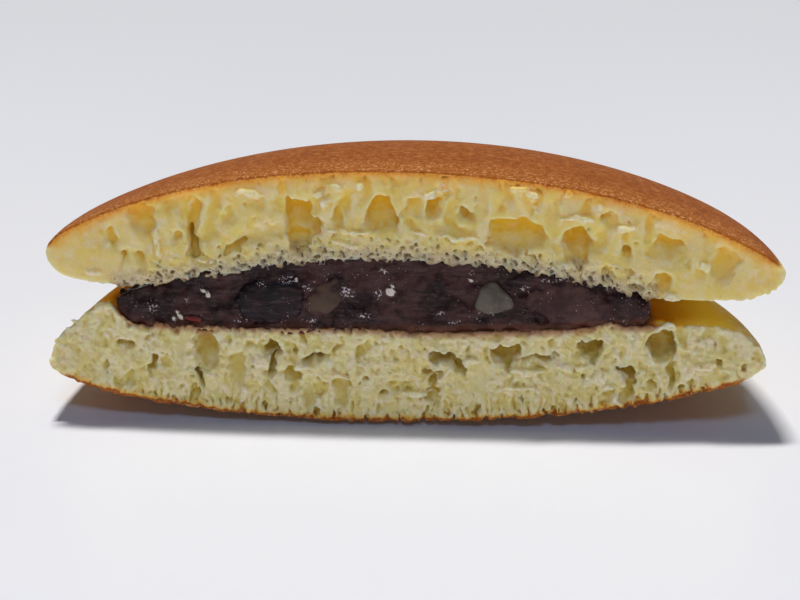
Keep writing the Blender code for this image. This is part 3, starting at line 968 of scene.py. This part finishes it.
def pancake_material(
    name, ridge, flat, patch, yellow_and_recess_shade, gold_and_deep_shade, brown, dark_brown, light_speck, light_grain,
    skin_thick, ragged, glow, starts, dry, soaked, stain, light_spreads, deep_shade_on_floors,
):
    """Crumb and browned skin in one, told apart by how deep a point lies under the browned face.

    The crumb's colours are those of its ridges, its flat parts, paler patches, hollows and the deep ends of
    holes: the ridges' colour is partly painted highlight, and that of the hollows and deep ends partly
    painted shade. skin_thick is how thick the browned skin is, glow how far its colour spreads into the
    crumb, starts how far from the rim it begins, dry how far from the paste the crumb is greyish, soaked how
    far the stain of the paste reaches and light_spreads how far light goes in the crumb, all in millimetres.
    ragged is how much the skin's thickness varies, and deep_shade_on_floors how much of the painted deep
    shade the floors of holes keep, as they face the light.
    """
    s = Shader(name)
    skin, rim, deep, paste = (s.value(n) for n in ("skin", "above_rim", "deep", "paste"))
    off_paste, hollow, proud, shell = (s.value(n) for n in ("off_paste", "hollow", "proud", "shell"))
    pit, dip = s.value("pit"), s.value("dip")
    middling = s.noise(1.2, 3.0)
    fine = s.noise(0.3, 2.0)
    off_middle = s.times(s.math("SUBTRACT", middling, 0.5), 0.5)
    facing_up = s.add("ShaderNodeSeparateXYZ", _0=s.add("ShaderNodeNewGeometry").outputs["Normal"]).outputs[2]
    # crumb: cream on the walls, yellow in the hollows and golden deep inside, these partly as painted shade,
    # with paler ridges as painted highlight
    patchy = s.times(s.ramp(s.noise(2.4, 3.0, 0.6, (1, 1, 0.6)), 0.40, 0.60), 0.5)
    crumb = s.mix(patchy, flat, yellow_and_recess_shade)
    # painted shade: the torn hollows and broad dips take the recess yellow, where less light reaches
    crumb = s.mix(s.times(hollow, 0.6), crumb, yellow_and_recess_shade)
    crumb = s.mix(s.ramp(dip, 0.04, 0.5), crumb, yellow_and_recess_shade)
    # painted shade: gold deep inside the holes, less of it on floors that face up to the light
    deep_shade = s.times(s.ramp(deep, 0.7, 2.2), s.ramp(shell, 0.3, 0.9))
    deep_shade = s.times(deep_shade, s.ramp(facing_up, 0.05, 0.45, 1.0, deep_shade_on_floors))
    crumb = s.mix(deep_shade, crumb, gold_and_deep_shade)
    # painted highlight: broad ridges and small bumps take the paler ridge colour
    crumb = s.mix(s.ramp(dip, -0.03, -0.4, 0.0, 0.25), crumb, ridge)
    crumb = s.mix(s.ramp(pit, -0.02, -0.09, 0.0, 0.2), crumb, ridge)
    rosy = s.times(s.ramp(s.noise(1.5, 2.0), 0.48, 0.62), s.ramp(dip, 0.2, -0.05, 0.0, 0.5))
    crumb = s.mix(rosy, crumb, patch)
    crumbly = s.noise(0.42, 3.0, 0.6)
    crumb = s.mix(s.times(rosy, s.ramp(crumbly, 0.52, 0.62, 0.0, 1.0)), crumb, ridge)
    crumb = s.mix(s.times(rosy, s.ramp(crumbly, 0.46, 0.36, 0.0, 0.8)), crumb, yellow_and_recess_shade)
    # painted shade: small pits darker gold
    crumb = s.mix(s.ramp(pit, 0.05, 0.15, 0.0, 0.35), crumb, tuple(c * 0.66 for c in gold_and_deep_shade))
    crumb = s.mix(s.times(s.ramp(fine, 0.64, 0.76), 0.2), crumb, tuple(c * 0.55 for c in gold_and_deep_shade))
    # bits that stand proud: paler dry crumb, and partly a painted highlight where they catch the light
    pale_and_lit_flakes = s.ramp(s.noise(0.4, 2.0, 0.7), 0.46, 0.60, 0.1, 0.95)
    crumb = s.mix(s.times(proud, pale_and_lit_flakes), crumb, (1.0, 0.87, 0.73))
    # towards the browned skin
    under = s.math("ADD", shell, s.times(off_middle, s.ramp(shell, 0.05, 0.4, 0.0, ragged)))
    skin_side = s.ramp(s.math("ADD", rim, middling), starts, starts + 1.0)
    skin_side = s.times(skin_side, s.ramp(skin, 2.5, 4.0, 1.0, 0.0))
    golden = s.ramp(under, skin_thick + 0.3 * glow, skin_thick + glow, 0.75, 0.0)
    crumb = s.mix(s.times(golden, skin_side), crumb, (0.86, 0.54, 0.07))
    orange = s.ramp(under, skin_thick, skin_thick + 0.5 * glow, 0.95, 0.0)
    orange = s.times(orange, s.ramp(fine, 0.42, 0.58, 1.0, 0.55))
    crumb = s.mix(s.times(orange, skin_side), crumb, (0.66, 0.22, 0.012))
    browned_pits = s.times(s.ramp(skin, 1.8, 0.7), s.ramp(pit, 0.02, 0.1, 0.0, 0.8))
    crumb = s.mix(s.times(browned_pits, skin_side), crumb, (0.42, 0.16, 0.02))
    # the smooth outside: the inner face orange near the paste and golden further out, its own tan made warmer
    # and brighter as a painted glow of light that comes through the upper pancake into the gap; paler round
    # the rim
    inner_face_with_glow = s.mix(s.ramp(off_paste, 0.5, 7.0), (1.0, 0.47, 0.015), (1.0, 0.72, 0.09))
    rim_colour = s.mix(s.ramp(middling, 0.36, 0.64), (0.84, 0.57, 0.16), (0.95, 0.78, 0.42))
    rim_colour = s.mix(s.ramp(fine, 0.60, 0.72, 0.0, 0.35), rim_colour, (0.66, 0.38, 0.09))
    smooth = s.mix(s.ramp(paste, 0.8, 2.5), inner_face_with_glow, rim_colour)
    outside = s.times(s.ramp(shell, 0.2, 0.5, 1.0, 0.0), s.ramp(deep, 0.4, 1.2))
    crumb = s.mix(outside, crumb, smooth)
    # where the paste has soaked in
    near_paste = s.ramp(off_paste, -0.5, 1.5, 1.0, 0.0)
    reach = s.math("ADD", paste, off_middle)
    greyish = s.times(s.ramp(reach, 0.35 * dry, dry, 0.25 * dry, 0.0), near_paste)
    crumb = s.mix(greyish, crumb, (0.61, 0.53, 0.41))
    crumb = s.mix(s.times(greyish, s.ramp(pit, 0.02, 0.1)), crumb, (0.26, 0.18, 0.10))
    dots = s.ramp(s.noise(0.32, 2.0, 0.6), 0.58, 0.68, 0.0, 1.4)
    crumb = s.mix(s.times(greyish, dots), crumb, (0.16, 0.10, 0.06))
    stained = s.times(s.ramp(reach, 0.2 * soaked, soaked, 0.85, 0.0), near_paste)
    crumb = s.mix(stained, crumb, stain)
    dark = s.times(s.ramp(reach, -0.2 * soaked, 0.4 * soaked, 0.9, 0.0), near_paste)
    crumb = s.mix(dark, crumb, (0.06, 0.022, 0.018))
    # browned skin
    mottle = s.noise(4.0, 4.0, 0.6)
    speck = s.noise(0.9, 3.0, 0.6)
    grain = s.noise(0.38, 3.0, 0.65)
    brown = s.mix(s.ramp(mottle, 0.3, 0.7), brown, dark_brown)
    brown = s.mix(s.ramp(speck, 0.48, 0.68, 0.0, 0.75), brown, light_speck)
    brown = s.mix(s.ramp(speck, 0.48, 0.34, 0.0, 0.8), brown, (0.19, 0.038, 0.005))
    near_cut = s.ramp(deep, 0.5, 8.0, 1.0, 0.25)
    brown = s.mix(s.times(near_cut, 0.5), brown, (0.42, 0.150, 0.023))
    light_grains = s.times(near_cut, s.ramp(grain, 0.54, 0.64))
    brown = s.mix(light_grains, brown, light_grain)
    dark_grains = s.times(near_cut, s.ramp(grain, 0.47, 0.35, 0.0, 0.85))
    brown = s.mix(dark_grains, brown, (0.25, 0.045, 0.004))
    brown = s.mix(s.ramp(rim, 3.2, 1.0, 0.0, 0.55), brown, (0.24, 0.045, 0.006))
    brown = s.mix(s.ramp(deep, 0.1, 0.5, 0.8, 0.0), brown, (0.44, 0.12, 0.01))
    browned = s.times(s.ramp(under, skin_thick, skin_thick + 0.2, 1.0, 0.0), skin_side)
    colour = s.mix(browned, crumb, brown)
    soft = s.add("ShaderNodeMix", {"data_type": "FLOAT"}, _0=browned, _2=0.85, _3=0.1).outputs[0]
    relief = s.math("ADD", s.times(fine, 0.7), s.times(s.noise(0.8, 2.0), 0.5))
    normal = s.bump(relief, 0.12, 1.0)
    normal = s.bump(s.noise(0.18, 3.0, 0.6), 0.05, 0.8, normal)
    return s.finish(
        Base_Color=colour,
        Roughness=0.6,
        Subsurface_Weight=soft,
        Subsurface_Radius=(1.0, 0.7, 0.3),
        Subsurface_Scale=light_spreads * MM,
        Specular_IOR_Level=0.15,
        Normal=normal,
    )


def paste_material():
    s = Shader("bean_paste")
    tone, bean, low, wet = (s.value(n) for n in ("tone", "bean", "low", "wet"))
    broad = s.noise(3.2, 3.0)
    fine = s.noise(0.3, 3.0)
    streak = s.noise(0.5, 3.0, 0.6, (0.22, 1, 1))
    patch = s.ramp(broad, 0.42, 0.60)
    dark = s.mix(patch, (0.002, 0.001, 0.002), (0.045, 0.012, 0.015))
    light = s.mix(patch, (0.055, 0.020, 0.022), (0.100, 0.048, 0.042))
    colour = s.mix(tone, dark, light)
    colour = s.mix(s.ramp(tone, 0.1, -0.25, 0.0, 0.7), colour, (0.012, 0.009, 0.013))
    # painted shade in the gaps round the beans
    bean_gap_shade = s.times(s.ramp(bean, 0.1, 0.4), s.ramp(bean, 0.9, 0.6, 0.0, 0.6))
    colour = s.mix(s.times(bean_gap_shade, s.ramp(s.noise(1.2), 0.4, 0.6)), colour, (0.004, 0.001, 0.002))
    streaky = s.math("SUBTRACT", 1.0, s.times(bean, s.ramp(tone, 0.3, 0.8, 0.0, 0.7)))
    light_streaks = s.times(s.ramp(streak, 0.49, 0.66, 0.0, 0.5), streaky)
    colour = s.mix(light_streaks, colour, (0.085, 0.052, 0.056))
    dark_streaks = s.times(s.ramp(streak, 0.46, 0.34, 0.0, 0.6), streaky)
    colour = s.mix(dark_streaks, colour, (0.006, 0.003, 0.005))
    rough_paste = s.math("SUBTRACT", 1.0, bean)
    husks = s.times(s.ramp(fine, 0.58, 0.72, 0.0, 0.5), rough_paste)
    colour = s.mix(husks, colour, (0.13, 0.06, 0.05))
    edge = s.math("SUBTRACT", low, s.times(broad, 1.2))
    colour = s.mix(s.ramp(edge, -0.3, 0.7, 0.7, 0.0), colour, (0.15, 0.052, 0.028))
    colour = s.mix(s.ramp(tone, -0.3, -0.8), colour, (0.17, 0.025, 0.022))
    olive = s.mix(broad, (0.06, 0.040, 0.026), (0.14, 0.098, 0.064))
    colour = s.mix(s.ramp(tone, 0.95, 1.25, 0.0, 0.75), colour, olive)
    pale = s.mix(streak, (0.105, 0.092, 0.072), (0.175, 0.156, 0.128))
    pale = s.mix(s.ramp(fine, 0.62, 0.74, 0.0, 0.7), pale, (0.42, 0.38, 0.34))
    pale = s.mix(s.ramp(broad, 0.48, 0.36, 0.0, 0.5), pale, (0.05, 0.040, 0.032))
    colour = s.mix(s.ramp(tone, 1.5, 1.9), colour, pale)
    # pale crumbs and bits of skin, and one painted highlight
    colour = s.mix(s.ramp(tone, 2.2, 2.8), colour, (0.75, 0.68, 0.62))
    # painted glints: lone pale specks, and denser ones in the glint spots
    lone_painted_glints = s.times(s.ramp(s.noise(0.24, 1.0), 0.68, 0.76), s.ramp(s.noise(2.2, 1.0), 0.55, 0.63))
    colour = s.mix(lone_painted_glints, colour, (0.50, 0.42, 0.46))
    glint = s.math("ADD", s.noise(0.34, 3.0, 0.7), s.times(wet, 0.13))
    colour = s.mix(s.times(s.ramp(glint, 0.67, 0.75), wet), colour, (0.72, 0.64, 0.68))
    relief = s.math("ADD", s.times(fine, 0.5), s.times(streak, 0.5))
    normal = s.bump(relief, 0.10, 0.9)
    normal = s.bump(s.noise(0.12, 2.0, 0.6), 0.05, 1.0, normal)
    return s.finish(
        Base_Color=colour,
        Roughness=0.2,
        Subsurface_Weight=0.2,
        Subsurface_Radius=(1.0, 0.35, 0.25),
        Subsurface_Scale=0.0008,
        Specular_IOR_Level=0.16,
        Normal=normal,
    )


def dress(obj, material, node):
    obj.data.materials.append(material)
    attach(obj, "root")
    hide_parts(node)


def add_lamp(name, direction, distance, size, power, colour):
    data = bpy.data.lights.new(name, "AREA")
    data.shape = "RECTANGLE"
    data.size, data.size_y = size
    data.energy = power
    data.color = colour
    lamp = new_object(name, data)
    aim = Vector(direction).normalized()
    lamp.location = aim * distance
    lamp.rotation_euler = aim.to_track_quat("Z", "Y").to_euler()


def make_stage():
    mesh = bpy.data.meshes.new("floor")
    mesh.from_pydata([(-3, -3, 0), (3, -3, 0), (3, 3, 0), (-3, 3, 0)], [], [(0, 1, 2, 3)])
    floor = new_object("floor", mesh)
    s = Shader("floor")
    back = s.add("ShaderNodeSeparateXYZ", _0=s.place()).outputs[1]
    # painted shade: the floor darker towards the back
    shade = s.mix(s.ramp(back, -0.03, 0.32), (0.825, 0.85, 0.945), (0.735, 0.78, 0.87))
    mesh.materials.append(s.finish(Base_Color=shade, Roughness=0.32, Specular_IOR_Level=0.5))
    world = bpy.data.worlds.new("studio")
    bpy.context.scene.world = world
    world.use_nodes = True
    sky = world.node_tree.nodes["Background"]
    sky.inputs["Color"].default_value = (1.0, 0.88, 0.78, 1.0)
    sky.inputs["Strength"].default_value = 0.05
    add_lamp("key", (-0.06, 0.17, 0.98), 2.0, (0.26, 0.11), 37.0, (1.0, 0.955, 0.865))
    add_lamp("window", (0.05, -0.50, 0.86), 1.5, (0.3, 0.3), 3.2, (0.46, 0.67, 1.0))
    add_lamp("fill", (0.12, -0.97, 0.20), 1.5, (0.5, 0.12), 3.15, (1.0, 0.845, 0.68))
    bpy.context.scene.view_settings.view_transform = "Standard"


def make_camera(matrix):
    """Looks at the middle of the cut, a little from above and from the right."""
    elevation = math.radians(18.7)
    azimuth = math.radians(3.6)
    distance = 0.22
    aim_height = 18.73
    turn = matrix.to_3x3().normalized()
    level = math.cos(elevation)
    back = turn @ Vector((math.sin(azimuth) * level, -math.cos(azimuth) * level, math.sin(elevation)))
    right = turn @ Vector((math.cos(azimuth), math.sin(azimuth), 0.0))
    up = back.cross(right)
    target = matrix @ Vector((0.0, 0.0, aim_height))
    data = bpy.data.cameras.new("camera")
    data.lens = 81.5
    data.sensor_width = 36.0
    data.shift_x = -0.0075
    data.shift_y = -0.0225
    data.clip_start = 0.01
    camera = new_object("camera", data)
    facing = Matrix((right, up, back)).transposed().to_4x4()
    camera.matrix_world = Matrix.Translation(target + back * distance) @ facing
    bpy.context.scene.camera = camera


def main():
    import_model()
    matrix = resting_matrix()
    upper = make_pancake(
        "upper_pancake_visual", upper_shape, upper_disc, upper_outer, upper_inner, upper_rim, 1.0, matrix
    )
    lower = make_pancake(
        "lower_pancake_visual", lower_shape, lower_disc, lower_outer, lower_inner, lower_rim, -1.0, matrix
    )
    dress(upper, pancake_material("upper_pancake_food", **UPPER_LOOK), "upper_pancake")
    dress(lower, pancake_material("lower_pancake_food", **LOWER_LOOK), "lower_pancake")
    dress(make_paste(matrix), paste_material(), "bean_paste")
    make_stage()
    make_camera(matrix)


main()
